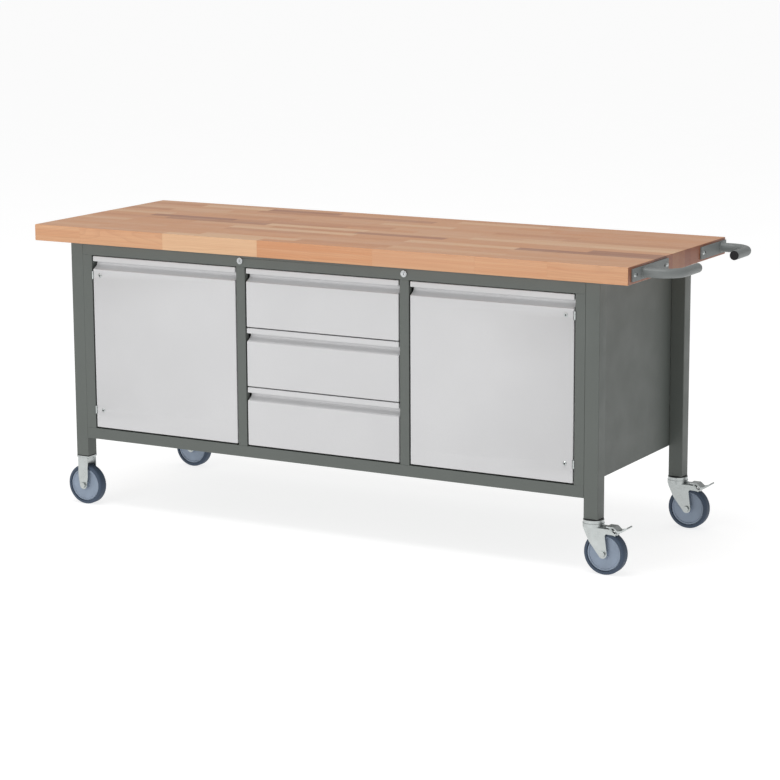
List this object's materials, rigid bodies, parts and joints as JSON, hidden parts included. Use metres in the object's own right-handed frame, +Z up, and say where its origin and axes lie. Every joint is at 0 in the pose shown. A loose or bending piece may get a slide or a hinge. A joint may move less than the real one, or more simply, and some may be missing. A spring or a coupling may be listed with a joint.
{
  "type": "mobile workbench with drawers",
  "caption": "Mobile workbench with a thick timber top, steel frame, hinged-door cupboards, a drawer stack on runners, push handles and rubber-tyred casters.",
  "frame": {"origin": "on the floor under the middle of the bench, push handles included", "axes": "+X along the bench towards the push handles, +Y from the front to the back, +Z up"},
  "size_m": [2.116, 0.7, 0.88],
  "materials": {
    "beech": "oiled, finger-jointed solid staves",
    "frame_paint": "fine powder coat, satin",
    "front_paint": "fine powder coat, satin",
    "handle_paint": "powder coat, satin",
    "zinc_steel": "bright zinc plate",
    "galvanised_sheet": "galvanised sheet",
    "lock_chrome": "polished",
    "black_plastic": "moulded",
    "wheel_plastic": "moulded, semi-gloss",
    "tyre_rubber": "elastic rubber, matt"
  },
  "bodies": {
    "bench": {"worktop": "beech", "worktop_screws": "zinc_steel", "posts_left": "frame_paint", "posts_right": "frame_paint", "post_end_plates": "black_plastic", "front_rail_top": "frame_paint", "front_rail_bottom": "frame_paint", "front_stiles": "frame_paint", "front_mullions": "frame_paint", "rear_rails": "frame_paint", "cabinet_side_left": "frame_paint", "cabinet_side_right": "frame_paint", "cabinet_back": "frame_paint", "cabinet_floor": "frame_paint", "partition_walls": "frame_paint", "shelves": "frame_paint", "shelf_pins": "zinc_steel", "runner_rails": "zinc_steel", "lock_bodies": "lock_chrome", "lock_bar_guides": "zinc_steel", "hinge_brackets": "zinc_steel", "handle_front": "handle_paint", "handle_rear": "handle_paint", "handle_caps": "black_plastic", "handle_screws": "zinc_steel", "fixed_caster_forks": "zinc_steel", "swivel_caster_heads": "zinc_steel"},
    "door_left": {"door_left": "front_paint", "door_hinges_left": "zinc_steel", "door_strike_left": "zinc_steel"},
    "door_right": {"door_right": "front_paint", "door_hinges_right": "zinc_steel", "door_strike_right": "zinc_steel"},
    "drawer_bottom": {"drawer_front_bottom": "front_paint", "drawer_box_bottom": "galvanised_sheet"},
    "runner_bottom": {"runner_slide_bottom": "zinc_steel"},
    "drawer_middle": {"drawer_front_middle": "front_paint", "drawer_box_middle": "galvanised_sheet"},
    "runner_middle": {"runner_slide_middle": "zinc_steel"},
    "drawer_top": {"drawer_front_top": "front_paint", "drawer_box_top": "galvanised_sheet"},
    "runner_top": {"runner_slide_top": "zinc_steel"},
    "lock_left": {"lock_plug_left": "lock_chrome"},
    "lock_bar_left": {"lock_bar_left": "zinc_steel"},
    "lock_right": {"lock_plug_right": "lock_chrome"},
    "lock_bar_right": {"lock_bar_right": "zinc_steel"},
    "wheel_front_left": {"wheel_front_left": "wheel_plastic", "tyre_front_left": "tyre_rubber"},
    "wheel_rear_left": {"wheel_rear_left": "wheel_plastic", "tyre_rear_left": "tyre_rubber"},
    "caster_front": {"swivel_fork_front": "zinc_steel", "swivel_axle_front": "zinc_steel"},
    "wheel_front_right": {"wheel_front_right": "wheel_plastic", "tyre_front_right": "tyre_rubber"},
    "pedal_front": {"brake_pedal_front": "zinc_steel"},
    "caster_rear": {"swivel_fork_rear": "zinc_steel", "swivel_axle_rear": "zinc_steel"},
    "wheel_rear_right": {"wheel_rear_right": "wheel_plastic", "tyre_rear_right": "tyre_rubber"},
    "pedal_rear": {"brake_pedal_rear": "zinc_steel"}
  },
  "joints": [
    {"name": "door_left_hinge", "type": "hinge", "parent": "bench", "child": "door_left", "pos_m": [-0.863, -0.322, 0.52], "axis": [0, 0, -1], "range_deg": [0, 105]},
    {"name": "door_right_hinge", "type": "hinge", "parent": "bench", "child": "door_right", "pos_m": [0.771, -0.322, 0.52], "axis": [0, 0, 1], "range_deg": [0, 105]},
    {"name": "drawer_bottom_slide", "type": "slide", "parent": "bench", "child": "drawer_bottom", "axis": [0, -1, 0], "range_m": [0, 0.5]},
    {"name": "runner_bottom_slide", "type": "slide", "parent": "bench", "child": "runner_bottom", "axis": [0, -1, 0], "range_m": [0, 0.25]},
    {"name": "drawer_middle_slide", "type": "slide", "parent": "bench", "child": "drawer_middle", "axis": [0, -1, 0], "range_m": [0, 0.5]},
    {"name": "runner_middle_slide", "type": "slide", "parent": "bench", "child": "runner_middle", "axis": [0, -1, 0], "range_m": [0, 0.25]},
    {"name": "drawer_top_slide", "type": "slide", "parent": "bench", "child": "drawer_top", "axis": [0, -1, 0], "range_m": [0, 0.5]},
    {"name": "runner_top_slide", "type": "slide", "parent": "bench", "child": "runner_top", "axis": [0, -1, 0], "range_m": [0, 0.25]},
    {"name": "lock_left_turn", "type": "hinge", "parent": "bench", "child": "lock_left", "pos_m": [-0.324, -0.323, 0.811], "axis": [0, 1, 0], "range_deg": [0, 90]},
    {"name": "lock_bar_left_drop", "type": "slide", "parent": "bench", "child": "lock_bar_left", "axis": [0, 0, -1], "range_m": [0, 0.01202]},
    {"name": "lock_right_turn", "type": "hinge", "parent": "bench", "child": "lock_right", "pos_m": [0.232, -0.323, 0.811], "axis": [0, 1, 0], "range_deg": [0, 90]},
    {"name": "lock_bar_right_drop", "type": "slide", "parent": "bench", "child": "lock_bar_right", "axis": [0, 0, -1], "range_m": [0, 0.01202]},
    {"name": "wheel_front_left_spin", "type": "hinge", "parent": "bench", "child": "wheel_front_left", "pos_m": [-0.92, -0.301, 0.0625], "axis": [0, 1, 0], "continuous": true},
    {"name": "wheel_rear_left_spin", "type": "hinge", "parent": "bench", "child": "wheel_rear_left", "pos_m": [-0.92, 0.301, 0.0625], "axis": [0, 1, 0], "continuous": true},
    {"name": "caster_front_swivel", "type": "hinge", "parent": "bench", "child": "caster_front", "pos_m": [0.825, -0.301, 0.14], "axis": [0, 0, 1], "continuous": true},
    {"name": "wheel_front_right_spin", "type": "hinge", "parent": "caster_front", "child": "wheel_front_right", "pos_m": [0.8635, -0.301, 0.0625], "axis": [0, 1, 0], "continuous": true},
    {"name": "brake_front_pedal", "type": "hinge", "parent": "caster_front", "child": "pedal_front", "pos_m": [0.887, -0.301, 0.131], "axis": [0, -1, 0], "range_deg": [0, 15]},
    {"name": "caster_rear_swivel", "type": "hinge", "parent": "bench", "child": "caster_rear", "pos_m": [0.825, 0.301, 0.14], "axis": [0, 0, 1], "continuous": true},
    {"name": "wheel_rear_right_spin", "type": "hinge", "parent": "caster_rear", "child": "wheel_rear_right", "pos_m": [0.8635, 0.301, 0.0625], "axis": [0, 1, 0], "continuous": true},
    {"name": "brake_rear_pedal", "type": "hinge", "parent": "caster_rear", "child": "pedal_rear", "pos_m": [0.887, 0.301, 0.131], "axis": [0, -1, 0], "range_deg": [0, 15]}
  ],
  "couplings": [
    {"joint": "runner_bottom_slide", "follows": "drawer_bottom_slide", "ratio": 0.5},
    {"joint": "runner_middle_slide", "follows": "drawer_middle_slide", "ratio": 0.5},
    {"joint": "runner_top_slide", "follows": "drawer_top_slide", "ratio": 0.5},
    {"joint": "lock_left_turn", "follows": "lock_bar_left_drop", "rad_per_m": 130.68},
    {"joint": "lock_right_turn", "follows": "lock_bar_right_drop", "rad_per_m": 130.68}
  ]
}
